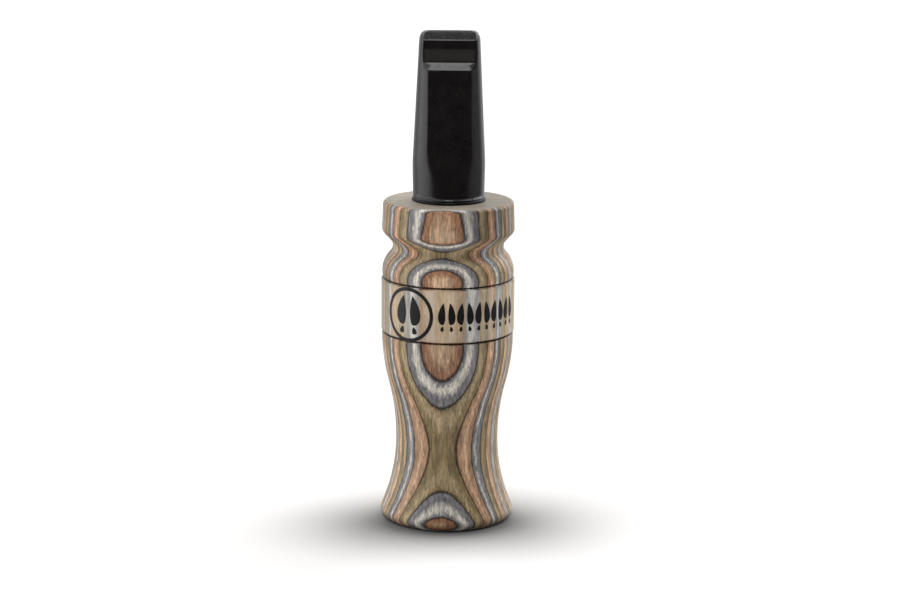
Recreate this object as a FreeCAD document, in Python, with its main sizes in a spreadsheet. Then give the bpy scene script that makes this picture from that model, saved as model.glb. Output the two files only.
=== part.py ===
import FreeCAD, Part

import os

import Sketcher

# A short wooden game call: a turned laminated barrel with a moulded duckbill mouthpiece plugged
# into its top, and a reed set plugged into the foot of the mouthpiece.
# Millimetres, +Z up along the barrel, origin at the middle of the bell's foot.
# The flat of the duckbill faces -Y and +Y, and its blowing slot runs along X.

SIZES = [
    # barrel, outside, from the foot up
    ("bell_radius", 16.05, "widest radius of the bell lip"),
    ("lip_round", 1.8, "rounding under the bell lip"),
    ("waist_radius", 12.38, "slimmest radius of the waist"),
    ("waist_height", 19.8, "height of the slimmest place"),
    ("waist_blend_height", 33.9, "height where the waist's hollow curve turns full"),
    ("shoulder_radius", 15.85, "radius under the lower burnt line"),
    ("lower_line_height", 46.4, "middle of the lower burnt line"),
    ("upper_line_height", 59.6, "middle of the upper burnt line"),
    ("line_half_width", 0.35, "half the width of a burnt line"),
    ("line_floor_radius", 15.4, "radius at the floor of a burnt line"),
    ("band_radius", 15.86, "radius of the land that the label lies on"),
    ("bead_radius", 15.81, "widest radius of the bead above the band"),
    ("bead_height", 61.0, "height of the bead's widest place"),
    ("bead_round", 6.5, "radius of the bead's upper curve"),
    ("neck_radius", 13.29, "radius at the floor of the lanyard neck"),
    ("neck_height", 67.2, "height of the neck's floor"),
    ("neck_round", 2.0, "radius of the neck's hollow on the collar side"),
    ("collar_round", 1.6, "rounding of the collar's lower edge"),
    ("collar_low_radius", 15.86, "collar radius above its lower rounding"),
    ("collar_low_height", 71.4, "height where the collar's lower rounding ends"),
    ("collar_top_radius", 15.64, "collar radius under its top rounding"),
    ("top_round", 1.0, "rounding of the barrel's top rim"),
    ("barrel_height", 78.1, "height of the barrel"),
    # barrel, inside
    ("chamber_radius", 6.4, "sound chamber and outlet bore"),
    ("outlet_radius", 9.4, "mouth of the outlet flare"),
    ("outlet_depth", 5.0, "depth of the outlet flare"),
    ("socket_radius", 7.75, "socket for the mouthpiece plug"),
    ("socket_floor", 54.0, "height of the socket's floor"),
    ("socket_bevel", 0.5, "bevel at the socket's mouth"),
    # printed label
    ("label_thickness", 0.14, "film thickness"),
    ("label_edge_gap", 0.1, "land left bare beside each burnt line"),
    ("label_wrap", 357.0, "degrees of the barrel that the film wraps"),
    # mouthpiece, turned stretch
    ("plug_radius", 7.45, "plug that goes into the socket"),
    ("plug_foot", 56.5, "height of the plug's lower end"),
    ("plug_bevel", 0.6, "lead-in bevel of the plug"),
    ("seal_floor_radius", 5.89, "floor of the seal grooves"),
    ("seal_half_width", 1.15, "half the width of a seal groove"),
    ("lower_seal_height", 61.5, "middle of the lower seal groove"),
    ("upper_seal_height", 71.5, "middle of the upper seal groove"),
    ("flange_radius", 8.82, "thin flange that rests on the barrel"),
    ("flange_thickness", 0.55, "thickness of the flange"),
    ("barrel_gap", 0.03, "gap between flange and barrel"),
    ("stem_low_radius", 8.52, "round stem just above the flange"),
    ("stem_top_radius", 8.66, "widest radius of the stem"),
    ("stem_top", 87.2, "height where the stem starts to taper"),
    ("taper_top", 116.1, "height where the taper ends in a rounded end"),
    ("taper_top_radius", 7.21, "radius of the taper there"),
    ("tip_top_radius", 6.1, "radius where the rounded end meets the top"),
    # mouthpiece, the two flats that make it a duckbill
    ("scoop_low", 83.5, "height where the flats run out of the stem"),
    ("flat_low", 91.0, "height where the run-out ends and a flat turns straight"),
    ("flat_low_depth", 6.91, "distance of a flat from the axis there"),
    ("ledge_low", 109.3, "outer edge of the lip ledge"),
    ("ledge_low_depth", 5.65, "distance from the axis there"),
    ("ledge_top", 111.2, "inner edge of the lip ledge"),
    ("ledge_top_depth", 4.0, "distance from the axis there"),
    ("tip_low", 113.4, "height where the face above the ledge turns upright"),
    ("tip_low_depth", 3.6, "distance from the axis there"),
    ("bevel_low", 116.5, "height where the bevel of the end starts"),
    ("bevel_low_depth", 3.5, "distance from the axis there"),
    ("tip_top", 118.2, "top of the mouthpiece"),
    ("tip_top_depth", 1.4, "distance from the axis there"),
    ("flat_clearance", 0.8, "how far the cut for a flat reaches past the stem and the top"),
    # mouthpiece, air way
    ("air_bore_radius", 4.8, "bore that holds the reed set"),
    ("air_bore_top", 98.0, "height where the bore narrows to the slot"),
    ("air_split_across", 3.0, "X of the bore circle's split points"),
    ("air_split_deep", 2.6, "Y of the bore circle's split points"),
    ("slot_low", 110.5, "height where the slot turns straight"),
    ("slot_half_length", 5.2, "half the slot's length"),
    ("slot_half_width", 0.9, "half the slot's width"),
    ("slot_corner", 0.5, "corner radius of the slot"),
    # seals
    ("seal_ring_radius", 6.82, "radius of a seal's centreline"),
    ("seal_wire_radius", 0.88, "radius of a seal's section"),
    # reed set
    ("head_radius", 6.0, "half-round heads of the toneboard and the wedge"),
    ("head_foot", 55.3, "lower face of the heads"),
    ("insert_radius", 4.72, "half-round plug of the toneboard and the wedge"),
    ("insert_top", 69.0, "top of the plug stretch"),
    ("tongue_radius", 3.85, "half-round tongue of the toneboard"),
    ("tongue_top", 97.0, "tip of the tongue"),
    ("tongue_curve_start", 75.5, "height where the tongue's face starts to fall away"),
    ("tongue_fall", 0.9, "how far the face falls away at the tip"),
    ("channel_half_width", 2.0, "half the width of the sound channel"),
    ("channel_depth", 2.6, "depth of the sound channel"),
    ("channel_top", 93.5, "closed end of the sound channel"),
    ("reed_half_width", 3.6, "half the width of the reed"),
    ("reed_thickness", 0.3, "thickness of the reed"),
    ("reed_gap", 0.02, "gap on each side of the reed at its root"),
    ("reed_foot", 64.0, "root end of the reed"),
    ("reed_top", 95.5, "free end of the reed"),
    ("reed_trim", 1.6, "trimmed corners of the free end"),
    ("wedge_top", 68.6, "nose of the wedge"),
    ("wedge_nose", 3.0, "slope of the wedge's nose"),
    ("ring_height", 73.6, "middle of the tuning ring"),
    ("ring_path_radius", 4.25, "round side of the ring's centreline"),
    ("ring_bend", 0.75, "bend of the centreline at its two corners"),
    ("ring_wire_radius", 0.36, "radius of the ring's section"),
]
VALUES = {name: value for name, value, meaning in SIZES}

doc = FreeCAD.newDocument("game_call")
sheet = doc.addObject("Spreadsheet::Sheet", "sizes")
for row, (name, value, meaning) in enumerate(SIZES, start=1):
    sheet.set(f"A{row}", str(value))
    sheet.setAlias(f"A{row}", name)
    sheet.set(f"B{row}", meaning)
doc.recompute()


def terms(text):
    """The signed names and numbers of a sum such as 'barrel_height - top_round'."""
    sign = 1
    for word in text.split():
        if word in "+-":
            sign = 1 if word == "+" else -1
        else:
            yield sign, word
            sign = 1


def amount(text):
    """The sum's value, from the sheet's sizes."""
    return sum(sign * (VALUES[word] if word in VALUES else float(word)) for sign, word in terms(text))


def formula(text):
    """The same sum as an expression on the sheet."""
    parts = []
    for sign, word in terms(text):
        parts.append(("+" if sign > 0 else "-") + ("sizes." + word if word in VALUES else word))
    return " ".join(parts)


def opposite(text):
    """The sum with every sign turned round."""
    return " ".join(("-" if sign > 0 else "+") + " " + word for sign, word in terms(text))


def add_body(label):
    body = doc.addObject("PartDesign::Body", label)
    body.Label = label
    return body


def add_sketch(body, name, plane, offset="0"):
    """A sketch on one of the body's origin planes, shifted along the plane's normal by a sheet sum."""
    made = body.newObject("Sketcher::SketchObject", name)
    support = [f for f in body.Origin.OriginFeatures if f.Role == plane][0]
    made.AttachmentSupport = [(support, "")]
    made.MapMode = "FlatFace"
    made.AttachmentOffset = FreeCAD.Placement(FreeCAD.Vector(0, 0, amount(offset)), FreeCAD.Rotation())
    if offset != "0":
        made.setExpression("AttachmentOffset.Base.z", formula(offset))
    doc.recompute()
    return made


def hold(sketch, kind, geometry, point, text):
    """Holds one coordinate of a sketch point, or an arc's radius, at a sheet sum."""
    value = amount(text)
    if kind == "Radius":
        index = sketch.addConstraint(Sketcher.Constraint("Radius", geometry, value))
    elif abs(value) < 1e-9:
        axis = -2 if kind == "DistanceX" else -1
        sketch.addConstraint(Sketcher.Constraint("PointOnObject", geometry, point, axis))
        return
    elif value < 0:
        index = sketch.addConstraint(Sketcher.Constraint(kind, geometry, point, -1, 1, -value))
        text = opposite(text)
    else:
        index = sketch.addConstraint(Sketcher.Constraint(kind, -1, 1, geometry, point, value))
    sketch.setExpression(f"Constraints[{index}]", formula(text))


def arc_between(start, end, centre, turning):
    """The arc from start to end about centre, and which of its ends is the start."""
    normal = FreeCAD.Vector(0, 0, 1)
    circle = Part.Circle(centre, normal, (start - centre).Length)
    first, last = (start, end) if turning == "left" else (end, start)
    arc = Part.ArcOfCircle(circle, circle.parameter(first), circle.parameter(last))
    return arc, (1, 2) if turning == "left" else (2, 1)


def closed_outline(sketch, corners, bends=None, smooth=()):
    """A closed outline. A corner is (x, y), each a sheet sum that holds it or a number it starts from.
    bends[i] = (turning, centre x, centre y, radius) makes the edge that leaves corner i an arc;
    a centre coordinate given as a sum is held there, and so is the radius unless it is None.
    smooth lists the corners where the two edges meet as tangents."""
    bends = bends or {}

    def place(x, y):
        return FreeCAD.Vector(*[amount(v) if isinstance(v, str) else v for v in (x, y)], 0)

    spots = [place(x, y) for x, y in corners]
    edges = []
    for i, start in enumerate(spots):
        end = spots[(i + 1) % len(spots)]
        if i in bends:
            turning, centre_x, centre_y, radius = bends[i]
            arc, ends = arc_between(start, end, place(centre_x, centre_y), turning)
            edges.append((sketch.addGeometry(arc), ends))
        else:
            edges.append((sketch.addGeometry(Part.LineSegment(start, end)), (1, 2)))
    for i, (edge, ends) in enumerate(edges):
        before, before_ends = edges[i - 1]
        joined = "Tangent" if i in smooth else "Coincident"
        sketch.addConstraint(Sketcher.Constraint(joined, before, before_ends[1], edge, ends[0]))
        for kind, coordinate in zip(("DistanceX", "DistanceY"), corners[i]):
            if isinstance(coordinate, str):
                hold(sketch, kind, edge, ends[0], coordinate)
        if i in bends:
            turning, centre_x, centre_y, radius = bends[i]
            for kind, coordinate in (("DistanceX", centre_x), ("DistanceY", centre_y)):
                if isinstance(coordinate, str):
                    hold(sketch, kind, edge, 3, coordinate)
            if radius:
                hold(sketch, "Radius", edge, 0, radius)
    doc.recompute()


def revolve(body, sketch, name="turned"):
    feature = body.newObject("PartDesign::Revolution", name)
    feature.Profile = sketch
    feature.ReferenceAxis = (sketch, ["V_Axis"])
    feature.Angle = 360
    doc.recompute()
    return feature


def pad(body, sketch, length, name):
    feature = body.newObject("PartDesign::Pad", name)
    feature.Profile = sketch
    feature.setExpression("Length", formula(length))
    doc.recompute()
    return feature


def pocket(body, sketch, length, name, reverse=False, both_ways=False):
    """Cuts a pocket, and makes sure that it did cut."""
    before = body.Shape.Volume
    feature = body.newObject("PartDesign::Pocket", name)
    feature.Profile = sketch
    feature.Reversed = reverse
    feature.Midplane = both_ways
    feature.setExpression("Length", formula(length))
    doc.recompute()
    if body.Shape.Volume >= before:
        raise RuntimeError(f"{body.Label}: {name} cut nothing")
    return feature


def loft(body, sections, name, kind="PartDesign::AdditiveLoft", ruled=False):
    feature = body.newObject(kind, name)
    feature.Profile = sections[0]
    feature.Sections = sections[1:]
    feature.Ruled = ruled
    doc.recompute()
    return feature


def make_barrel():
    """The turned barrel: bell, waist, label land between two burnt lines, bead, neck and collar."""
    body = add_body("barrel")
    sketch = add_sketch(body, "barrel_profile", "XZ_Plane")
    corners = [
        ("outlet_radius", "0"),
        ("bell_radius - lip_round", "0"),
        (15.9, 2.5),
        ("waist_radius", "waist_height"),
        (14.25, "waist_blend_height"),
        ("shoulder_radius", "lower_line_height - line_half_width"),
        ("line_floor_radius", "lower_line_height"),
        ("band_radius", "lower_line_height + line_half_width"),
        ("band_radius", "upper_line_height - line_half_width"),
        ("line_floor_radius", "upper_line_height"),
        (15.78, "upper_line_height + line_half_width"),
        (14.0, 65.5),
        ("neck_radius", "neck_height"),
        (13.9, 68.7),
        (15.3, 70.2),
        ("collar_low_radius", "collar_low_height"),
        ("collar_top_radius", "barrel_height - top_round"),
        ("collar_top_radius - top_round", "barrel_height"),
        ("socket_radius + socket_bevel", "barrel_height"),
        ("socket_radius", "barrel_height - socket_bevel"),
        ("socket_radius", "socket_floor"),
        ("chamber_radius", "socket_floor"),
        ("chamber_radius", "outlet_depth"),
    ]
    bends = {
        1: ("left", "bell_radius - lip_round", "lip_round", None),
        2: ("right", 56.56, "waist_height", None),
        3: ("right", 66.4, "waist_height", None),
        4: ("left", -30.8, "lower_line_height - line_half_width", None),
        10: ("left", "bead_radius - bead_round", "bead_height", "bead_round"),
        11: ("right", 15.4, "neck_height", None),
        12: ("right", "neck_radius + neck_round", "neck_height", None),
        14: ("left", "collar_low_radius - collar_round", "collar_low_height", None),
        16: ("left", 14.64, 77.1, "top_round"),
        22: ("left", 12.07, "outlet_depth", None),
    }
    closed_outline(sketch, corners, bends, smooth=(2, 4, 11, 13, 14))
    revolve(body, sketch)
    return body


def make_label_band():
    """The printed film: an open ring with its seam at the back."""
    body = add_body("label_band")
    sketch = add_sketch(body, "film_section", "YZ_Plane")
    low = "lower_line_height + line_half_width + label_edge_gap"
    top = "upper_line_height - line_half_width - label_edge_gap"
    outer = "- band_radius - label_thickness"
    closed_outline(sketch, [(outer, low), ("- band_radius", low), ("- band_radius", top), (outer, top)])
    film = revolve(body, sketch)
    film.Midplane = True
    film.setExpression("Angle", formula("label_wrap"))
    return body


def split_circle(body, name, height, radius, across, deep):
    """A circle of eight arcs, so that a loft can run from it to a rounded rectangle."""
    sketch = add_sketch(body, name, "XY_Plane", height)
    r, a, b = amount(radius), amount(across), amount(deep)
    a_y = (r * r - a * a) ** 0.5
    b_x = (r * r - b * b) ** 0.5
    corners = [
        (f"- {across}", -a_y), (across, -a_y), (b_x, f"- {deep}"), (b_x, deep),
        (across, a_y), (f"- {across}", a_y), (-b_x, deep), (-b_x, f"- {deep}"),
    ]
    bends = {i: ("left", "0", "0", None) for i in range(2, 8)}
    bends[0] = ("left", 0, 0, radius)
    bends[1] = ("left", "0", "0", radius)
    closed_outline(sketch, corners, bends)
    return sketch


def rounded_rectangle(body, name, height, half_width, half_depth, corner):
    """A rounded rectangle of four lines and four arcs, centred on the axis."""
    sketch = add_sketch(body, name, "XY_Plane", height)
    w, d = half_width, half_depth
    corners = [
        (f"- {w} + {corner}", f"- {d}"), (f"{w} - {corner}", f"- {d}"),
        (w, f"- {d} + {corner}"), (w, f"{d} - {corner}"),
        (f"{w} - {corner}", d), (f"- {w} + {corner}", d),
        (f"- {w}", f"{d} - {corner}"), (f"- {w}", f"- {d} + {corner}"),
    ]
    middles = {
        1: (f"{w} - {corner}", f"- {d} + {corner}"), 3: (f"{w} - {corner}", f"{d} - {corner}"),
        5: (f"- {w} + {corner}", f"{d} - {corner}"), 7: (f"- {w} + {corner}", f"- {d} + {corner}"),
    }
    bends = {i: ("left", amount(x), amount(y), corner) for i, (x, y) in middles.items()}
    closed_outline(sketch, corners, bends)
    return sketch


def make_mouthpiece():
    """The moulded mouthpiece: plug with two seal grooves, round stem, duckbill with a lip ledge."""
    body = add_body("mouthpiece")
    sketch = add_sketch(body, "stem_profile", "XZ_Plane")
    seat = "barrel_height + barrel_gap"

    def groove(height):
        return [
            ("plug_radius", f"{height} - seal_half_width"),
            ("seal_floor_radius", f"{height} - seal_half_width"),
            ("seal_floor_radius", f"{height} + seal_half_width"),
            ("plug_radius", f"{height} + seal_half_width"),
        ]

    corners = [
        ("air_bore_radius", "plug_foot"),
        ("plug_radius - plug_bevel", "plug_foot"),
        ("plug_radius", "plug_foot + plug_bevel"),
        *groove("lower_seal_height"),
        *groove("upper_seal_height"),
        ("plug_radius", seat),
        ("flange_radius", seat),
        ("flange_radius", f"{seat} + flange_thickness"),
        ("stem_low_radius", f"{seat} + flange_thickness + flange_thickness"),
        ("stem_top_radius", "stem_top"),
        ("taper_top_radius", "taper_top"),
        ("tip_top_radius", "tip_top"),
        ("0", "tip_top"),
        ("0", "air_bore_top"),
        ("air_bore_radius", "air_bore_top"),
    ]
    rounded_end = corners.index(("taper_top_radius", "taper_top"))
    closed_outline(sketch, corners, {rounded_end: ("left", 4.67, "taper_top", None)})
    revolve(body, sketch, "stem")

    outline = add_sketch(body, "flat_outline", "YZ_Plane")
    past_stem = "- stem_top_radius - flat_clearance"
    closed_outline(outline, [
        ("- stem_top_radius", "scoop_low"),
        ("- flat_low_depth", "flat_low"),
        ("- ledge_low_depth", "ledge_low"),
        ("- ledge_top_depth", "ledge_top"),
        ("- tip_low_depth", "tip_low"),
        ("- bevel_low_depth", "bevel_low"),
        ("- tip_top_depth", "tip_top"),
        ("- tip_top_depth", "tip_top + flat_clearance"),
        (past_stem, "tip_top + flat_clearance"),
        (past_stem, "scoop_low"),
    ], {0: ("left", -30.95, 92.66, None)}, smooth=(1,))
    front = pocket(body, outline, "stem_top_radius + stem_top_radius", "front_flat", both_ways=True)
    back = body.newObject("PartDesign::Mirrored", "back_flat")
    back.Originals = [front]
    back.MirrorPlane = ([f for f in body.Origin.OriginFeatures if f.Role == "XZ_Plane"][0], [""])
    body.Tip = back
    doc.recompute()

    throat = split_circle(body, "throat_root", "air_bore_top", "air_bore_radius", "air_split_across",
                          "air_split_deep")
    slot_foot = rounded_rectangle(body, "slot_foot", "slot_low", "slot_half_length", "slot_half_width",
                                  "slot_corner")
    loft(body, [throat, slot_foot], "throat", "PartDesign::SubtractiveLoft", ruled=True)
    slot = rounded_rectangle(body, "slot_outline", "slot_low", "slot_half_length", "slot_half_width",
                             "slot_corner")
    pocket(body, slot, "tip_top - slot_low", "slot", reverse=True)
    return body


def make_seal(label, height):
    """A rubber ring in one of the plug's grooves."""
    ring = doc.addObject("Part::Torus", label)
    ring.Label = label
    ring.setExpression("Radius1", formula("seal_ring_radius"))
    ring.setExpression("Radius2", formula("seal_wire_radius"))
    ring.setExpression("Placement.Base.z", formula(height))
    return ring


def half_round(body, name, height, radius, side, flat="0"):
    """A half-round section on one side of the reed: side is 1 at the back and -1 at the front."""
    sketch = add_sketch(body, name, "XY_Plane", height)
    face = amount(flat) * side
    reach = (amount(radius) ** 2 - face ** 2) ** 0.5
    held = flat if side > 0 or flat == "0" else opposite(flat)
    corners = [(-reach, held), (reach, held)] if side > 0 else [(reach, held), (-reach, held)]
    closed_outline(sketch, corners, {1: ("left", "0", "0", radius)})
    return sketch


def make_toneboard():
    """The toneboard: half-round head and plug, and a tongue whose face falls away towards its tip."""
    body = add_body("toneboard")
    head = half_round(body, "head_section", "head_foot", "head_radius", 1)
    pad(body, head, "plug_foot - head_foot", "head")
    plug = half_round(body, "plug_section", "plug_foot", "insert_radius", 1)
    pad(body, plug, "insert_top - plug_foot", "plug")
    tongue = half_round(body, "tongue_section", "insert_top", "tongue_radius", 1)
    pad(body, tongue, "tongue_top - insert_top", "tongue")
    fall = add_sketch(body, "fall_side", "YZ_Plane", "- tongue_radius")
    length = amount("tongue_top - tongue_curve_start")
    bend = (length ** 2 + VALUES["tongue_fall"] ** 2) / (2 * VALUES["tongue_fall"])
    closed_outline(fall, [("0", "tongue_curve_start"), ("tongue_fall", "tongue_top"), ("0", "tongue_top")],
                   {0: ("right", bend, "tongue_curve_start", None)})
    pocket(body, fall, "tongue_radius + tongue_radius", "fall", reverse=True)
    channel = add_sketch(body, "channel_outline", "XZ_Plane")
    half = "channel_half_width"
    closed_outline(channel, [(f"- {half}", "head_foot"), (half, "head_foot"), (half, "channel_top"),
                             (f"- {half}", "channel_top")])
    pocket(body, channel, "channel_depth", "channel")
    return body


def make_wedge():
    """The wedge: half-round head and plug that pinch the reed's root, with a sloped nose."""
    body = add_body("wedge")
    face = "reed_gap + reed_thickness + reed_gap"
    head = half_round(body, "head_section", "head_foot", "head_radius", -1, face)
    pad(body, head, "plug_foot - head_foot", "head")
    plug = half_round(body, "plug_section", "plug_foot", "insert_radius", -1, face)
    pad(body, plug, "wedge_top - plug_foot", "plug")
    nose = add_sketch(body, "nose_side", "YZ_Plane", "- insert_radius")
    closed_outline(nose, [("- insert_radius", "wedge_top - wedge_nose"), (opposite(face), "wedge_top"),
                          ("- insert_radius", "wedge_top")])
    pocket(body, nose, "insert_radius + insert_radius", "nose", reverse=True)
    return body


def make_reed():
    """The reed: a thin strip with trimmed corners at its free end."""
    body = add_body("reed")
    sketch = add_sketch(body, "reed_outline", "XZ_Plane", "reed_gap")
    half = "reed_half_width"
    closed_outline(sketch, [
        (f"- {half}", "reed_foot"), (half, "reed_foot"),
        (half, "reed_top - reed_trim"), (f"{half} - reed_trim", "reed_top"),
        (f"- {half} + reed_trim", "reed_top"), (f"- {half}", "reed_top - reed_trim"),
    ])
    pad(body, sketch, "reed_thickness", "strip")
    return body


def make_tuning_ring():
    """The rubber ring that grips the reed on the tongue: round at the back, flat over the reed."""
    body = add_body("tuning_ring")
    path = add_sketch(body, "ring_path", "XY_Plane", "ring_height")
    centre = "ring_path_radius - ring_bend"
    corners = [
        (opposite(centre), "- ring_bend"), (centre, "- ring_bend"),
        ("ring_path_radius", "0"), ("- ring_path_radius", "0"),
    ]
    closed_outline(path, corners, {
        1: ("left", amount(centre), 0, "ring_bend"),
        2: ("left", 0, "0", None),
        3: ("left", -amount(centre), 0, "ring_bend"),
    })
    section = add_sketch(body, "ring_section", "YZ_Plane")
    middle = FreeCAD.Vector(-VALUES["ring_bend"], VALUES["ring_height"], 0)
    wire = section.addGeometry(Part.Circle(middle, FreeCAD.Vector(0, 0, 1), VALUES["ring_wire_radius"]))
    hold(section, "DistanceX", wire, 3, "- ring_bend")
    hold(section, "DistanceY", wire, 3, "ring_height")
    hold(section, "Radius", wire, 0, "ring_wire_radius")
    pipe = body.newObject("PartDesign::AdditivePipe", "ring")
    pipe.Profile = section
    pipe.Spine = (path, [])
    doc.recompute()
    return body


pieces = [
    make_barrel(),
    make_label_band(),
    make_mouthpiece(),
    make_seal("lower_o_ring", "lower_seal_height"),
    make_seal("upper_o_ring", "upper_seal_height"),
    make_toneboard(),
    make_wedge(),
    make_reed(),
    make_tuning_ring(),
]
doc.recompute()

for thing in doc.Objects:
    if {"Invalid", "Error"} & set(thing.State):
        raise RuntimeError(f"{thing.Label} did not recompute: {thing.State}")
os.makedirs("parts", exist_ok=True)
for piece in pieces:
    shape = piece.Shape
    if shape.isNull() or not shape.isValid() or len(shape.Solids) != 1:
        raise RuntimeError(f"{piece.Label} is not one sound solid")
    shape.exportStep(f"parts/{piece.Label}.step")
    box = shape.BoundBox
    print(f"{piece.Label:14s} {shape.Volume:9.1f} mm3  z {box.ZMin:7.2f} to {box.ZMax:7.2f}  "
          f"x {box.XMin:6.2f} to {box.XMax:6.2f}  y {box.YMin:6.2f} to {box.YMax:6.2f}")
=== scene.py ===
import math

import bmesh
import bpy
from mathutils import Matrix, Vector


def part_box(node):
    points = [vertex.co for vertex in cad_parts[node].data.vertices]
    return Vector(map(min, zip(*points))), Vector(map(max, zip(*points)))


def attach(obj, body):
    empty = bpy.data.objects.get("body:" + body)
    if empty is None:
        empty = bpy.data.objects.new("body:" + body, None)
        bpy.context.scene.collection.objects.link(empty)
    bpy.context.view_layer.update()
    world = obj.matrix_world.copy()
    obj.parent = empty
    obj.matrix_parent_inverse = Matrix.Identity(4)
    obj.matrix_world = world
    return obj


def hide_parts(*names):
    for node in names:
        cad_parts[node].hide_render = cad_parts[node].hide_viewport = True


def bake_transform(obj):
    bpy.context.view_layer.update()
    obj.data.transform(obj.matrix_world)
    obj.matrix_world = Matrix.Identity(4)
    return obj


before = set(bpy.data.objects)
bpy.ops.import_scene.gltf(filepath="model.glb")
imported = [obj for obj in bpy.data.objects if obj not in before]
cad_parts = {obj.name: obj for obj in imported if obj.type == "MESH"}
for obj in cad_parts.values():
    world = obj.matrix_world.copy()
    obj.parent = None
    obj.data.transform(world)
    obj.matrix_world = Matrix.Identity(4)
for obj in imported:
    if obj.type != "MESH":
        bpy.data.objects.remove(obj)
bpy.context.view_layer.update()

MM = 0.001


def span(node):
    """A node's lowest and highest point, in millimetres."""
    low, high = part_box(node)
    return low.z / MM, high.z / MM


BARREL_TOP = span("barrel")[1]
PLUG_FOOT, CALL_TOP = span("mouthpiece")
LABEL_LOW, LABEL_TOP = span("label_band")
LABEL_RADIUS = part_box("label_band")[1].x / MM

# The blank: veneers of three dyes glued in turn, lying across a line that points this way.
PLY_AZIMUTH = -5.0
SLATE_THICKNESS = 1.66
OLIVE_THICKNESS = 1.50
RUSSET_THICKNESS = 1.64
FIRST_GLUE_LINE = 15.05
BURNT_LINES = (46.4, 59.6)
BURNT_HALF_WIDTH = 0.26


# ---------------------------------------------------------------- camera, light and floor

CAMERA_PITCH = 12.5
CAMERA_ROLL = 0.45
CAMERA_YAW = 0.06
CAMERA_REACH = 488.2
CAMERA_HEIGHT = 161.8
LENS = 83.0

# Soft glows of the studio: azimuth and height they come from, in degrees, the angle of the full
# glow and of its faded edge from that direction, and its radiance. Azimuth 0 is the camera's side.
# The floor isn't seen in reflections, so what a glow has below the horizon shows only in them.
GLOWS = (
    (-88, 14, 22, 48, 1.88),
    (120, 42, 16, 40, 2.4),
    (-150, 5, 15, 45, 0.50),
    (154, 5, 15, 42, 0.80),
    (-140, 66, 8, 17, 6.2),
    (140, 66, 8, 17, 4.0),
    (0, 70, 5, 11, 6.6),
    (-52, 58, 8, 20, 1.6),
    (52, 58, 8, 20, 0.7),
    (92, -12, 10, 34, 0.36),
)
DIM_ROOM = 0.055

FLOOR_REACH = 8.0
# The floor's own colour is darker round the foot, because soft light alone leaves too pale a shadow.
# How far in front of the axis its middle lies, where it is darkest and where it ends, how it fades
# between them, and how much a sideways distance counts.
SHADE_FORWARD, SHADE_FOOT, SHADE_REACH, SHADE_FALL = 7.4, 9.3, 38.5, 0.29
SHADE_ACROSS = 0.69


def direction(azimuth, height):
    azimuth, height = math.radians(azimuth), math.radians(height)
    return (math.sin(azimuth) * math.cos(height), -math.cos(azimuth) * math.cos(height), math.sin(height))


def make_camera():
    data = bpy.data.cameras.new("camera")
    data.lens = LENS
    data.sensor_width = 36.0
    data.clip_start = 0.01
    camera = bpy.data.objects.new("camera", data)
    bpy.context.scene.collection.objects.link(camera)
    turn = (Matrix.Rotation(-math.radians(CAMERA_YAW), 4, "Z")
            @ Matrix.Rotation(math.radians(90 - CAMERA_PITCH), 4, "X")
            @ Matrix.Rotation(math.radians(CAMERA_ROLL), 4, "Z"))
    camera.matrix_world = Matrix.Translation(Vector((0, -CAMERA_REACH, CAMERA_HEIGHT)) * MM) @ turn
    bpy.context.scene.camera = camera


def make_studio():
    """A dim room with soft glows, all far away, so that the whole floor is lit alike."""
    world = bpy.data.worlds.new("studio")
    bpy.context.scene.world = world
    world.use_nodes = True
    nodes, links = world.node_tree.nodes, world.node_tree.links
    view = nodes.new("ShaderNodeTexCoord").outputs["Generated"]
    total = None
    for azimuth, height, full, edge, strength in GLOWS:
        facing = nodes.new("ShaderNodeVectorMath")
        facing.operation = "DOT_PRODUCT"
        facing.inputs[1].default_value = direction(azimuth, height)
        links.new(view, facing.inputs[0])
        fade = nodes.new("ShaderNodeMapRange")
        fade.interpolation_type = "SMOOTHSTEP"
        fade.inputs["From Min"].default_value = math.cos(math.radians(edge))
        fade.inputs["From Max"].default_value = math.cos(math.radians(full))
        fade.inputs["To Min"].default_value = 0 if total else DIM_ROOM
        fade.inputs["To Max"].default_value = strength if total else strength + DIM_ROOM
        links.new(facing.outputs["Value"], fade.inputs["Value"])
        if total:
            plus = nodes.new("ShaderNodeMath")
            links.new(total, plus.inputs[0])
            links.new(fade.outputs[0], plus.inputs[1])
            total = plus.outputs[0]
        else:
            total = fade.outputs[0]
    links.new(total, nodes["Background"].inputs["Strength"])
    nodes["Background"].inputs["Color"].default_value = (1, 1, 1, 1)
    bpy.context.scene.view_settings.view_transform = "Standard"


def make_floor():
    mesh = bpy.data.meshes.new("floor")
    corners = [(x * FLOOR_REACH, y * FLOOR_REACH, 0) for x, y in ((-1, -1), (1, -1), (1, 1), (-1, 1))]
    mesh.from_pydata(corners, [], [(0, 1, 2, 3)])
    floor = bpy.data.objects.new("floor", mesh)
    bpy.context.scene.collection.objects.link(floor)
    floor.visible_glossy = False
    paint = Paint("studio_floor", roughness=0.9, specular=0.0)
    place = paint.millimetres()
    place = paint.add("VectorMath", [place, (0, SHADE_FORWARD, 0)], operation="ADD").outputs[0]
    place = paint.add("VectorMath", [place, (SHADE_ACROSS, 1, 1)], operation="MULTIPLY").outputs[0]
    away = paint.add("VectorMath", [place], operation="LENGTH").outputs["Value"]
    shade = paint.stretch(away, SHADE_FOOT, SHADE_REACH, 0.003, 1.0)
    shade = paint.math("POWER", shade, SHADE_FALL)
    grain = paint.noise(place, 0.02, detail=3.0)
    light = paint.math("MULTIPLY", shade, paint.stretch(grain, 0.3, 0.7, 0.76, 0.79))
    paint.colour(paint.mix(1.0, srgb(255, 254, 253), paint.join(light, light, light), blend="MULTIPLY"))
    mesh.materials.append(paint.material)


# ---------------------------------------------------------------- materials

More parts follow.
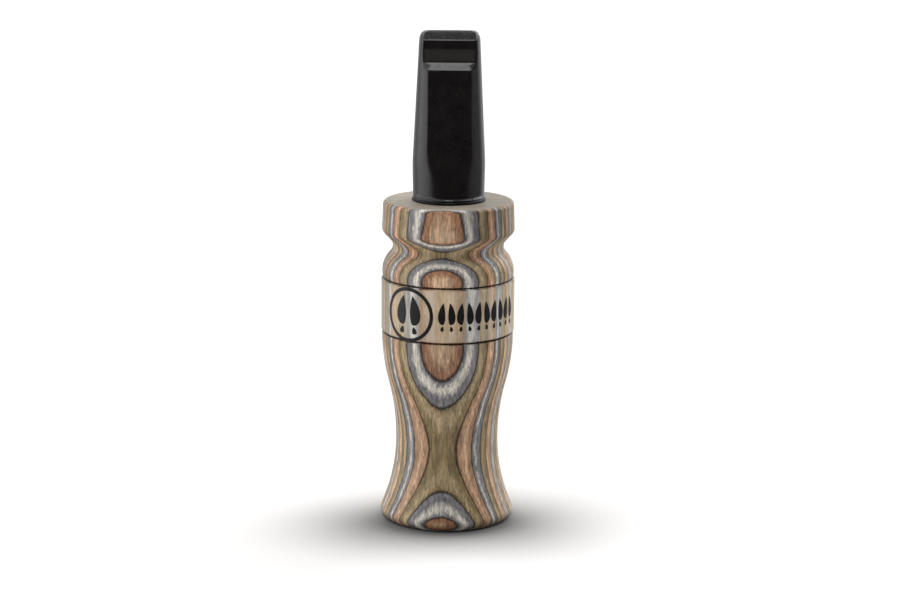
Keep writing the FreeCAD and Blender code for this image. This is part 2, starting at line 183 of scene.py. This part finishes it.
def srgb(red, green, blue):
    """A colour as seen on a screen, 0 to 255, as the linear colour that the shader takes."""
    def linear(value):
        value = value / 255
        return value / 12.92 if value <= 0.04045 else ((value + 0.055) / 1.055) ** 2.4
    return (linear(red), linear(green), linear(blue), 1)


class Paint:
    """A material with one Principled shader, and short calls that add nodes in front of it."""

    def __init__(self, name, roughness=0.5, specular=0.5, coat=0.0, coat_roughness=0.2):
        self.material = bpy.data.materials.new(name)
        self.material.use_nodes = True
        self.nodes = self.material.node_tree.nodes
        self.links = self.material.node_tree.links
        self.shader = self.nodes["Principled BSDF"]
        self.shader.inputs["Roughness"].default_value = roughness
        self.shader.inputs["Specular IOR Level"].default_value = specular
        self.shader.inputs["Coat Weight"].default_value = coat
        self.shader.inputs["Coat Roughness"].default_value = coat_roughness

    def add(self, kind, sockets=(), **properties):
        """A node; sockets are its inputs in order, each a value or another node's output."""
        node = self.nodes.new("ShaderNode" + kind)
        for name, value in properties.items():
            setattr(node, name, value)
        for socket, value in zip(node.inputs, sockets):
            self.feed(socket, value)
        return node

    def feed(self, socket, value):
        if isinstance(value, bpy.types.NodeSocket):
            self.links.new(value, socket)
        else:
            socket.default_value = value

    def math(self, operation, *values):
        return self.add("Math", values, operation=operation).outputs[0]

    def millimetres(self):
        place = self.add("TexCoord").outputs["Object"]
        node = self.add("VectorMath", [place], operation="SCALE")
        node.inputs["Scale"].default_value = 1 / MM
        return node.outputs[0]

    def along(self, place, direction):
        return self.add("VectorMath", [place, direction], operation="DOT_PRODUCT").outputs["Value"]

    def join(self, x, y, z):
        return self.add("CombineXYZ", [x, y, z]).outputs[0]

    def noise(self, place, scale, detail=2.0, rough=0.5):
        node = self.add("TexNoise", noise_dimensions="3D")
        self.feed(node.inputs["Vector"], place)
        node.inputs["Scale"].default_value = scale
        node.inputs["Detail"].default_value = detail
        node.inputs["Roughness"].default_value = rough
        return node.outputs[0]

    def stretch(self, value, low, high, to_low=0.0, to_high=1.0, smooth=True):
        node = self.add("MapRange", interpolation_type="SMOOTHSTEP" if smooth else "LINEAR")
        for name, number in (("Value", value), ("From Min", low), ("From Max", high), ("To Min", to_low),
                             ("To Max", to_high)):
            self.feed(node.inputs[name], number)
        return node.outputs[0]

    def mix(self, amount, first, second, blend="MIX"):
        node = self.add("Mix", data_type="RGBA", blend_type=blend)
        self.feed(node.inputs[0], amount)
        self.feed(node.inputs[6], first)
        self.feed(node.inputs[7], second)
        return node.outputs[2]

    def mix_value(self, amount, first, second):
        node = self.add("Mix", data_type="FLOAT")
        for socket, value in zip(node.inputs[:1] + node.inputs[2:4], (amount, first, second)):
            self.feed(socket, value)
        return node.outputs[0]

    def colour(self, socket):
        self.links.new(socket, self.shader.inputs["Base Color"])

    def roughness(self, socket):
        self.links.new(socket, self.shader.inputs["Roughness"])

    def bump(self, height, distance):
        """Relief of the given depth, in millimetres."""
        node = self.add("Bump")
        node.inputs["Strength"].default_value = 1.0
        node.inputs["Distance"].default_value = distance * MM
        self.links.new(height, node.inputs["Height"])
        self.links.new(node.outputs[0], self.shader.inputs["Normal"])


# The three dyes in turn from the front: the colour next to the glue and the paler core of the sheet.
SLATE = (srgb(124, 121, 124), srgb(206, 200, 188))
OLIVE = (srgb(139, 120, 84), srgb(172, 151, 117))
RUSSET = (srgb(160, 116, 86), srgb(202, 170, 138))
GLUE = srgb(40, 32, 28)
PALE_RUSSET = srgb(204, 176, 144)
FADED_SLATE, FADED_SHEET = srgb(214, 214, 215), srgb(208, 196, 172)


def laminate(paint, glue_strength, fade):
    """The laminated blank as a solid: its colour, its relief, and where in it each point lies.

    Fade, from 0 to 1, pales the colour towards a washed-out one.
    """
    azimuth = math.radians(PLY_AZIMUTH)
    place = paint.millimetres()
    depth = paint.along(place, (math.sin(azimuth), -math.cos(azimuth), 0))
    across = paint.along(place, (math.cos(azimuth), math.sin(azimuth), 0))
    height = paint.along(place, (0, 0, 1))

    def fibres(run):
        """Coordinates in which everything is drawn out along the grain, run times."""
        return paint.join(across, depth, paint.math("MULTIPLY", height, 1 / run))

    # the sheets bow forward at the foot, in the waist and at the neck, lean in the collar, and waver a
    # little everywhere
    foot = paint.stretch(height, 1.0, 7.0, 0.22, 0.0)
    waist = paint.stretch(height, 6.0, 32.0, 0.31, 0.02)
    neck = paint.stretch(paint.math("ABSOLUTE", paint.math("SUBTRACT", height, 66.0)), 0.5, 7.0, 0.13, 0.0)
    collar = paint.stretch(height, 70.0, 78.0, -0.05, 0.06)
    lean = paint.math("ADD", paint.math("ADD", foot, waist), paint.math("ADD", neck, collar))
    sway = paint.stretch(paint.noise(fibres(2.0), 0.1, detail=1.0), 0.2, 0.8, -0.10, 0.10, smooth=False)
    ripple = paint.stretch(paint.noise(fibres(4.0), 0.6, detail=1.0), 0.2, 0.8, -0.03, 0.03, smooth=False)
    depth = paint.math("ADD", paint.math("SUBTRACT", depth, lean), paint.math("ADD", sway, ripple))

    # which sheet: 0 slate, 1 olive, 2 russet, and how deep in it from its front face
    set_of_three = SLATE_THICKNESS + OLIVE_THICKNESS + RUSSET_THICKNESS
    turns = paint.math("DIVIDE", paint.math("SUBTRACT", FIRST_GLUE_LINE, depth), set_of_three)
    turn = paint.math("FLOOR", turns)
    run = paint.math("MULTIPLY", paint.math("SUBTRACT", turns, turn), set_of_three)
    past_slate = paint.math("GREATER_THAN", run, SLATE_THICKNESS)
    past_olive = paint.math("GREATER_THAN", run, SLATE_THICKNESS + OLIVE_THICKNESS)
    start = paint.math("ADD", paint.math("MULTIPLY", past_slate, SLATE_THICKNESS),
                       paint.math("MULTIPLY", past_olive, OLIVE_THICKNESS))
    thick = paint.math("ADD", SLATE_THICKNESS, paint.math("ADD",
                       paint.math("MULTIPLY", past_slate, OLIVE_THICKNESS - SLATE_THICKNESS),
                       paint.math("MULTIPLY", past_olive, RUSSET_THICKNESS - OLIVE_THICKNESS)))
    from_front = paint.math("SUBTRACT", run, start)
    from_back = paint.math("SUBTRACT", thick, from_front)
    dye, core = [paint.mix(past_olive, paint.mix(past_slate, slate, olive), russet)
                 for slate, olive, russet in zip(SLATE, OLIVE, RUSSET)]
    sheet = paint.add("TexWhiteNoise", noise_dimensions="1D")
    paint.feed(sheet.inputs["W"], paint.math("ADD", paint.math("MULTIPLY", turn, 3),
                                             paint.math("ADD", past_slate, past_olive)))
    sheet = sheet.outputs[0]

    # the dye soaks in from both faces, further from the back one, unevenly along the fibres
    soak = paint.stretch(paint.noise(fibres(5.0), 2.6, detail=3.0, rough=0.7), 0.25, 0.75, -0.2, 0.2)
    reach = paint.math("ADD", soak, paint.stretch(sheet, 0.0, 1.0, -0.15, 0.2, smooth=False))
    in_front = paint.math("MULTIPLY", paint.stretch(sheet, 0.45, 0.9), 0.35)
    before = paint.math("ADD", soak, in_front)
    at_front = paint.stretch(paint.math("SUBTRACT", from_front, before), 0.06, 0.42)
    behind = paint.math("SUBTRACT", reach, paint.math("MULTIPLY", past_olive, 0.1))
    at_back = paint.stretch(paint.math("SUBTRACT", from_back, behind), 0.48, 0.95)
    undyed = paint.math("MULTIPLY", at_front, at_back)
    at_sides = paint.stretch(paint.math("ABSOLUTE", depth), 3.0, 9.0, 0.55, 0.0)
    undyed = paint.math("MAXIMUM", undyed, at_sides)
    colour = paint.mix(undyed, dye, core)

    # the russet sheets behind the foremost one took less dye, most of all low down
    paler = paint.math("MULTIPLY", past_olive, paint.stretch(depth, 14.0, 15.0, 1.0, 0.0))
    paler = paint.math("MULTIPLY", paler, paint.stretch(height, 46.0, 68.0, 0.28, 0.08))
    colour = paint.mix(paler, colour, PALE_RUSSET)

    # each sheet has its own tone, and fine fibres, long streaks and short dark pores run along it
    fibre = paint.noise(fibres(9.0), 2.6, detail=3.0, rough=0.65)
    streak = paint.noise(fibres(8.0), 1.1, detail=3.0, rough=0.6)
    pore = paint.noise(fibres(7.0), 3.2, detail=1.0)
    light = paint.stretch(sheet, 0.0, 1.0, 0.93, 1.07, smooth=False)
    light = paint.math("MULTIPLY", light, paint.stretch(fibre, 0.28, 0.72, 0.70, 1.30))
    light = paint.math("MULTIPLY", light, paint.stretch(streak, 0.3, 0.7, 0.76, 1.22))
    light = paint.math("MULTIPLY", light, paint.stretch(pore, 0.28, 0.42, 0.70, 1.0))
    if fade:
        light = paint.math("ADD", paint.math("MULTIPLY", light, 1 - fade), fade)
        colour = paint.mix(fade, colour, paint.mix(past_slate, FADED_SLATE, FADED_SHEET))

    # painted shade down the left side above the waist, in the foremost patches below the label, and on the
    # right of the collar: the part of the wood that a painted shade is for, then where it changes, and its
    # ends
    for part, (start_at, full_at), run_along, (low, high), shade_levels in (
            (height, (40.0, 46.0), across, (-14.5, -12.0), (0.70, 1.0)),
            (depth, (15.0, 15.1), height, (46.2, 46.6), (0.88, 1.0)),
            (height, (68.0, 71.0), across, (3.0, 8.0), (1.0, 0.66))):
        inside = paint.stretch(part, start_at, full_at)
        tone = paint.mix_value(inside, 1.0, paint.stretch(run_along, low, high, *shade_levels))
        light = paint.math("MULTIPLY", light, tone)
    colour = paint.mix(1.0, colour, paint.join(light, light, light), blend="MULTIPLY")

    # thin dark glue between the sheets, soaked a little into them
    from_face = paint.math("MINIMUM", from_front, from_back)
    from_face = paint.math("ADD", from_face, paint.math("MULTIPLY", soak, 0.22))
    glue = paint.math("MULTIPLY", paint.stretch(from_face, 0.01, 0.15, 1.0, 0.0), glue_strength)
    colour = paint.mix(glue, colour, GLUE)
    relief = paint.math("SUBTRACT", fibre, paint.math("MULTIPLY", glue, 0.4))
    return colour, relief, {"height": height, "across": across, "past_slate": past_slate, "fibre": fibre}


def laminated_wood():
    paint = Paint("laminated_wood", specular=0.35, coat=0.1, coat_roughness=0.35)
    colour, relief, wood = laminate(paint, glue_strength=0.9, fade=0.0)

    # the sanded end face is dusty and even, with fine streaks across it, and painted shade darkens its right
    facing = paint.add("TexCoord").outputs["Normal"]
    end = paint.stretch(paint.along(facing, (0, 0, 1)), 0.85, 0.999)
    place = paint.millimetres()
    streaks = paint.noise(paint.join(paint.math("MULTIPLY", paint.along(place, (1, 0, 0)), 0.12),
                                     paint.along(place, (0, 1, 0)), 0.0), 2.2, detail=3.0, rough=0.7)
    dust_and_shade = paint.mix(paint.stretch(streaks, 0.3, 0.7), srgb(134, 130, 117), srgb(172, 166, 153))
    # painted shade: the end face is darker towards its right
    dust_and_shade = paint.mix(paint.stretch(wood["across"], 2.0, 10.0), dust_and_shade, srgb(136, 129, 117))
    colour = paint.mix(paint.math("MULTIPLY", end, 0.72), colour, dust_and_shade)

    for line in BURNT_LINES:
        off = paint.math("ABSOLUTE", paint.math("SUBTRACT", wood["height"], line))
        off = paint.math("ADD", off, paint.stretch(wood["fibre"], 0.2, 0.8, -0.08, 0.08))
        burnt = paint.stretch(off, BURNT_HALF_WIDTH * 0.4, BURNT_HALF_WIDTH * 1.3, 0.94, 0.0)
        colour = paint.mix(burnt, colour, srgb(34, 27, 23))
    paint.colour(colour)
    paint.roughness(paint.stretch(wood["fibre"], 0.2, 0.8, 0.40, 0.56))
    paint.bump(relief, 0.03)
    return paint.material


def printed_label():
    """The film shows the wood under it, paler, with cream and grey stripes down it."""
    paint = Paint("printed_label", specular=0.4, coat=0.1, coat_roughness=0.3)
    colour, relief, wood = laminate(paint, glue_strength=0.0, fade=0.30)
    place = paint.millimetres()
    stripes = paint.noise(paint.join(paint.along(place, (1, 0, 0)), paint.along(place, (0, 1, 0)), 0.0), 0.75)
    cream = paint.math("MULTIPLY", paint.stretch(stripes, 0.45, 0.62, 0.0, 0.45),
                       paint.stretch(wood["past_slate"], 0.0, 1.0, 0.4, 1.0))
    colour = paint.mix(cream, colour, srgb(176, 158, 122))
    colour = paint.mix(paint.stretch(stripes, 0.34, 0.44, 0.35, 0.0), colour, srgb(188, 186, 180))
    paint.colour(colour)
    paint.roughness(paint.stretch(wood["fibre"], 0.2, 0.8, 0.42, 0.54))
    paint.bump(relief, 0.012)
    return paint.material


# Just above the lip ledge the flats of the bill are painted lighter, a painted sheen: heights between
# which the sheen comes in and goes out, and how far out from the middle it fades.
SHEEN_FOOT, SHEEN_TOP, SHEEN_SIDE = (111.2, 111.7), (113.7, 114.6), (5.4, 6.3)


def black_plastic(name, specular):
    """Moulded plastic with faint flow marks and dusty specks, and a painted sheen on the flats of the bill.
    """
    paint = Paint(name, specular=specular)
    place = paint.millimetres()
    flow = paint.noise(place, 0.35, detail=3.0)
    specks = paint.noise(place, 2.6, detail=2.0, rough=0.7)
    colour = paint.mix(paint.stretch(flow, 0.3, 0.7), srgb(17, 15, 15), srgb(27, 22, 23))
    colour = paint.mix(paint.stretch(specks, 0.66, 0.76, 0.0, 0.25), colour, srgb(58, 55, 54))
    height = paint.along(place, (0, 0, 1))
    beside = paint.math("ABSOLUTE", paint.along(place, (1, 0, 0)))
    # painted sheen: the flats just above the lip ledge are painted lighter
    painted_sheen = paint.math("MULTIPLY", paint.stretch(height, *SHEEN_FOOT),
                        paint.stretch(height, *SHEEN_TOP, 1.0, 0.0))
    painted_sheen = paint.math("MULTIPLY", painted_sheen, paint.stretch(beside, *SHEEN_SIDE, 0.42, 0.0))
    colour = paint.mix(painted_sheen, colour, srgb(66, 62, 61))
    paint.colour(colour)
    paint.roughness(paint.stretch(specks, 0.3, 0.75, 0.16, 0.28))
    paint.bump(paint.noise(place, 0.9, detail=2.0), 0.012)
    return paint.material


def black_ink():
    paint = Paint("black_ink", specular=0.35)
    place = paint.millimetres()
    wear = paint.noise(place, 2.4, detail=3.0, rough=0.7)
    paint.colour(paint.mix(paint.stretch(wear, 0.55, 0.8), srgb(24, 22, 24), srgb(58, 54, 54)))
    paint.roughness(paint.stretch(wear, 0.3, 0.7, 0.42, 0.6))
    return paint.material


def rubber(name, dark, light):
    paint = Paint(name, specular=0.3)
    grain = paint.noise(paint.millimetres(), 3.0, detail=3.0)
    paint.colour(paint.mix(grain, dark, light))
    paint.roughness(paint.stretch(grain, 0.3, 0.7, 0.55, 0.75))
    paint.bump(grain, 0.01)
    return paint.material


def moulded(name, dark, light, roughness):
    """Plain moulded plastic, slightly mottled."""
    paint = Paint(name, specular=0.45)
    place = paint.millimetres()
    cloud = paint.noise(place, 0.5, detail=3.0)
    grain = paint.noise(place, 5.0, detail=2.0)
    paint.colour(paint.mix(cloud, dark, light))
    paint.roughness(paint.stretch(grain, 0.3, 0.7, roughness - 0.06, roughness + 0.08))
    paint.bump(grain, 0.006)
    return paint.material


def reed_film():
    paint = Paint("reed_film", specular=0.5)
    place = paint.millimetres()
    drawn_out = paint.join(paint.along(place, (1, 0, 0)), 0.0, paint.along(place, (0, 0, 0.05)))
    brushed = paint.noise(drawn_out, 4.0)
    paint.colour(paint.mix(brushed, srgb(176, 182, 180), srgb(206, 212, 208)))
    paint.roughness(paint.stretch(brushed, 0.3, 0.7, 0.25, 0.45))
    paint.shader.inputs["Transmission Weight"].default_value = 0.35
    return paint.material


# ---------------------------------------------------------------- mouthpiece

COLUMNS = 320
# A higher sharpness gives a crisper edge between the round stem and the flats. The edges are softest
# at the foot of the flats, crisp further up, and a little softer again on the tip above the ledge.
EDGE_SHARPNESS = 80
TIP_SHARPNESS = 42
SCOOP_SHARPNESS, SCOOP_FOOT, SCOOP_TOP = 26, 90.0, 101.0
SLOT_SHARPNESS = 12
LEDGE = 110.2
FAR = 99.0
STEM_FOOT = BARREL_TOP + 1.13
ROW_HEIGHT = 0.8
# the flange is duller than the rest of the moulding, up to this height
DULL_TOP = BARREL_TOP + 1.0
# (height, radius) of the round stem and its taper, (height, distance) of the flats cut into it,
# and how far each corner is rounded along its sides
STEM = [(STEM_FOOT, 8.52, 0), (87.2, 8.66, 1.5), (116.1, 7.21, 0.4), (116.9, 7.08, 0.3), (117.5, 6.79, 0.3),
        (117.9, 6.46, 0.15), (CALL_TOP, 6.1, 0)]
FLATS = [(STEM_FOOT, 10.66, 0), (87.1, 7.18, 3.95), (109.3, 5.65, 0.4), (111.2, 4.0, 0.3),
         (113.4, 3.6, 1.6), (116.2, 3.70, 0.1), (116.5, 3.44, 0.1), (CALL_TOP, 1.4, 0)]
TIP_RADIUS, TIP_HALF_DEPTH = 6.02, 1.34
PLUG_RADIUS, GROOVE_RADIUS, GROOVE_HALF_HEIGHT = 7.45, 5.89, 1.15
SLOT_HALF_LENGTH, SLOT_HALF_WIDTH = 5.2, 0.9
BORE_RADIUS = 4.8
# the throat turns from the slot into the bore between the slot's foot and this height
THROAT_FOOT = 98.0
THROAT_STEPS, BORE_STEPS = 16, 20


def rounded(outline, steps=7):
    """The outline (height, size, rounding) as points, with each corner rounded as a parabola."""
    points = [Vector(outline[0][:2])]
    for before, (height, size, rounding), after in zip(outline, outline[1:], outline[2:]):
        corner = Vector((height, size))
        start = corner + (Vector(before[:2]) - corner).normalized() * rounding
        end = corner + (Vector(after[:2]) - corner).normalized() * rounding
        for i in range(steps + 1):
            t = i / steps
            points.append(start * (1 - t) ** 2 + corner * 2 * t * (1 - t) + end * t ** 2)
    points.append(Vector(outline[-1][:2]))
    return points


def size_at(points, height):
    for low, high in zip(points, points[1:]):
        if height <= high.x:
            return low.y + (high.y - low.y) * (height - low.x) / (high.x - low.x)
    return points[-1].y


def outline_radii(radius=FAR, across=FAR, deep=FAR, sharpness=EDGE_SHARPNESS):
    """Distance from the axis in each direction of a round, cut by flats, with its edges eased."""
    radii = []
    for i in range(COLUMNS):
        angle = 2 * math.pi * (i + 0.5) / COLUMNS
        limits = (radius, across / abs(math.cos(angle)), deep / abs(math.sin(angle)))
        nearest = min(limits)
        radii.append(nearest * sum((nearest / limit) ** sharpness for limit in limits) ** (-1 / sharpness))
    return radii


def tube(name, rows):
    """A closed mesh from rows (height, radii), the last row joined to the first."""
    mesh = bpy.data.meshes.new(name)
    verts = []
    for height, radii in rows:
        for i, radius in enumerate(radii):
            angle = 2 * math.pi * (i + 0.5) / COLUMNS
            verts.append((radius * math.cos(angle) * MM, radius * math.sin(angle) * MM, height * MM))
    faces = []
    for row in range(len(rows)):
        low, high = row * COLUMNS, (row + 1) % len(rows) * COLUMNS
        for i in range(COLUMNS):
            j = (i + 1) % COLUMNS
            faces.append((low + i, low + j, high + j, high + i))
    mesh.from_pydata(verts, [], faces)
    mesh.shade_smooth()
    piece = bpy.data.objects.new(name, mesh)
    bpy.context.scene.collection.objects.link(piece)
    return piece


def make_mouthpiece(glossy, dull):
    """Plug with two seal grooves, thin flange, round stem, duckbill with a lip ledge, slot and bore."""
    rows = []

    def turned(height, radius):
        rows.append((height, outline_radii(radius)))

    seat = BARREL_TOP + 0.03
    plug, groove, half = PLUG_RADIUS, GROOVE_RADIUS, GROOVE_HALF_HEIGHT
    for height, radius in ((0, 6.75), (0.03, 6.85), (0.6, 7.4), (0.7, plug)):
        turned(PLUG_FOOT + height, radius)
    for node in ("lower_o_ring", "upper_o_ring"):
        middle = sum(span(node)) / 2
        for height, radius in ((-half - 0.08, plug), (-half, plug - 0.08), (-half, groove + 0.2),
                               (-half + 0.2, groove), (half - 0.2, groove), (half, groove + 0.2),
                               (half, plug - 0.08), (half + 0.08, plug)):
            turned(middle + height, radius)
    for height, radius in ((0, plug), (0, 8.76), (0.05, 8.82), (0.4, 8.82), (0.44, 8.79), (0.6, 8.64),
                           (0.85, 8.55)):
        turned(seat + height, radius)

    stem, flats = rounded(STEM), rounded(FLATS)
    heights = {point.x for point in stem + flats}
    heights |= {STEM_FOOT + ROW_HEIGHT * i for i in range(int((CALL_TOP - STEM_FOOT) / ROW_HEIGHT))}
    for height in sorted(heights):
        eased = min(max((height - SCOOP_FOOT) / (SCOOP_TOP - SCOOP_FOOT), 0), 1)
        sharpness = SCOOP_SHARPNESS + (EDGE_SHARPNESS - SCOOP_SHARPNESS) * eased
        if height > LEDGE:
            sharpness = TIP_SHARPNESS
        rows.append((height, outline_radii(size_at(stem, height), deep=size_at(flats, height),
                                           sharpness=sharpness)))
    rows[-1] = (CALL_TOP - 0.06, rows[-1][1])
    rows.append((CALL_TOP, outline_radii(TIP_RADIUS, deep=TIP_HALF_DEPTH)))

    for down, out in ((0, 0.16), (0.03, 0.06), (0.15, 0.0), (3.0, 0.0), (7.7, 0.0)):
        rows.append((CALL_TOP - down, outline_radii(across=SLOT_HALF_LENGTH + out, deep=SLOT_HALF_WIDTH + out,
                                                    sharpness=SLOT_SHARPNESS)))
    slot_foot, slot = rows[-1]
    bore = outline_radii(BORE_RADIUS)
    for i in range(1, THROAT_STEPS + 1):
        t = i / THROAT_STEPS
        radii = [a + (b - a) * t for a, b in zip(slot, bore)]
        rows.append((slot_foot + (THROAT_FOOT - slot_foot) * t, radii))
    for i in range(1, BORE_STEPS + 1):
        turned(THROAT_FOOT + (PLUG_FOOT + 0.2 - THROAT_FOOT) * i / BORE_STEPS, BORE_RADIUS)
    turned(PLUG_FOOT, BORE_RADIUS + 0.15)

    piece = tube("duckbill_mouthpiece", rows)
    piece.data.materials.append(glossy)
    piece.data.materials.append(dull)
    for face in piece.data.polygons:
        face.material_index = int(face.center.z < DULL_TOP * MM)
    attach(piece, "mouthpiece")
    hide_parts("mouthpiece")


# ---------------------------------------------------------------- reed

REED_TRIM = 1.6
REED_STEPS = 63


def make_reed(finish):
    """The reed's film, in short strips from its foot to its tip."""
    low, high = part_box("reed")
    corner = high.z - REED_TRIM * MM
    heights = {low.z + (high.z - low.z) * i / REED_STEPS for i in range(REED_STEPS + 1)} | {corner}
    verts = []
    for height in sorted(heights):
        half = high.x - max(height - corner, 0)
        verts += [(x, y, height) for x, y in ((-half, low.y), (half, low.y), (half, high.y), (-half, high.y))]
    faces = [(0, 3, 2, 1)]
    last = len(verts) - 4
    for row in range(0, last, 4):
        for i in range(4):
            j = (i + 1) % 4
            faces.append((row + i, row + j, row + 4 + j, row + 4 + i))
    faces.append(tuple(last + i for i in range(4)))
    mesh = bpy.data.meshes.new("reed_strip")
    mesh.from_pydata(verts, [], faces)
    piece = bpy.data.objects.new("reed_strip", mesh)
    bpy.context.scene.collection.objects.link(piece)
    mesh.materials.append(finish)
    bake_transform(piece)
    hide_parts("reed")


# ---------------------------------------------------------------- print on the label

INK_LOW, INK_TOP = LABEL_RADIUS - 0.04, LABEL_RADIUS + 0.03
INK_STRIP = 0.4
TOE_POINTS = 40
RING_AZIMUTH, RING_RADIUS, RING_INSIDE = -35.75, 6.55, 5.7
RING_TRACK = (6.6, 8.8)
TRAIL_AZIMUTH, TRAIL_SPACING, TRAIL_COUNT = 31, 15.9, 5
TRAIL_TRACK = (4.0, 6.6)


def toe(side, width, length):
    """The outline of one toe of a cloven hoof: pointed in front, round behind, flatter on its inside."""
    points = []
    for i in range(TOE_POINTS):
        turn = 2 * math.pi * i / TOE_POINTS
        x = width * math.sin(turn) * math.sin(turn / 2) ** 0.8
        y = length / 2 * math.cos(turn)
        x = side * (x + 0.56 * width if x > 0 else 0.42 * x + 0.56 * width)
        points.append((x - side * 0.10 * y * width / length, y))
    return points


def track(width, length):
    """A deer's track: two toes and the two small dew claws behind them."""
    outlines = []
    for side in (-1, 1):
        outlines.append([(x, y + 0.12 * length) for x, y in toe(side, 0.375 * width, 0.8 * length)])
        claw = toe(side, 0.17 * width, 0.2 * length)
        outlines.append([(x + side * 0.14 * width, y - 0.42 * length) for x, y in claw])
    return outlines


def circle(radius, points=96):
    turns = [2 * math.pi * i / points for i in range(points)]
    return [(radius * math.sin(turn), radius * math.cos(turn)) for turn in turns]


def print_shape(name, outlines, azimuth, height, finish):
    """Ink with a thickness, from flat outlines wrapped on the label. One inside another is a hole."""
    curve = bpy.data.curves.new(name, "CURVE")
    curve.dimensions = "2D"
    curve.fill_mode = "BOTH"
    curve.extrude = (INK_TOP - INK_LOW) / 2
    for outline in outlines:
        spline = curve.splines.new("POLY")
        spline.points.add(len(outline) - 1)
        for point, (x, y) in zip(spline.points, outline):
            point.co = (x, y, 0, 1)
        spline.use_cyclic_u = True
    flat = bpy.data.objects.new(name + "_flat", curve)
    bpy.context.scene.collection.objects.link(flat)
    mesh = bpy.data.meshes.new_from_object(flat.evaluated_get(bpy.context.evaluated_depsgraph_get()))
    bpy.data.objects.remove(flat)

    shape = bmesh.new()
    shape.from_mesh(mesh)
    bmesh.ops.remove_doubles(shape, verts=shape.verts, dist=1e-4)
    reach = max(abs(x) for outline in outlines for x, y in outline)
    strips = int(reach / INK_STRIP)
    for i in range(-strips, strips + 1):
        everything = shape.verts[:] + shape.edges[:] + shape.faces[:]
        bmesh.ops.bisect_plane(shape, geom=everything, plane_co=(i * INK_STRIP, 0, 0), plane_no=(1, 0, 0))
    middle = (INK_LOW + INK_TOP) / 2
    for vert in shape.verts:
        turn = math.radians(azimuth) + vert.co.x / LABEL_RADIUS
        radius = middle + vert.co.z
        vert.co = Vector((radius * math.sin(turn), -radius * math.cos(turn), height + vert.co.y)) * MM
    bmesh.ops.recalc_face_normals(shape, faces=shape.faces)
    shape.to_mesh(mesh)
    shape.free()
    mesh.materials.clear()
    mesh.materials.append(finish)
    piece = bpy.data.objects.new(name, mesh)
    bpy.context.scene.collection.objects.link(piece)
    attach(piece, "barrel")


def make_print(finish):
    """A deer's track in a ring, and a trail of five tracks beside it."""
    height = (LABEL_LOW + LABEL_TOP) / 2
    ring = [circle(RING_RADIUS), circle(RING_INSIDE)]
    print_shape("print_ring", ring, RING_AZIMUTH, height - 0.15, finish)
    print_shape("print_ring_track", track(*RING_TRACK), RING_AZIMUTH, height - 0.15, finish)
    for i in range(TRAIL_COUNT):
        azimuth = TRAIL_AZIMUTH + (i - TRAIL_COUNT // 2) * TRAIL_SPACING
        print_shape(f"print_track_{i + 1}", track(*TRAIL_TRACK), azimuth, height - 0.1, finish)


# ---------------------------------------------------------------- run

make_camera()
make_studio()
make_floor()

FINISHES = {
    "barrel": laminated_wood(),
    "label_band": printed_label(),
    "lower_o_ring": rubber("seal_rubber", srgb(18, 18, 19), srgb(38, 38, 40)),
    "toneboard": moulded("toneboard_plastic", srgb(214, 206, 184), srgb(228, 222, 204), 0.38),
    "wedge": moulded("wedge_plastic", srgb(150, 112, 72), srgb(176, 138, 96), 0.6),
    "tuning_ring": rubber("ring_rubber", srgb(120, 24, 20), srgb(150, 38, 30)),
}
FINISHES["upper_o_ring"] = FINISHES["lower_o_ring"]
for node, finish in FINISHES.items():
    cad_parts[node].data.materials.clear()
    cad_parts[node].data.materials.append(finish)

make_mouthpiece(black_plastic("black_plastic", specular=0.42), black_plastic("flange_plastic", specular=0.12))
make_reed(reed_film())
make_print(black_ink())
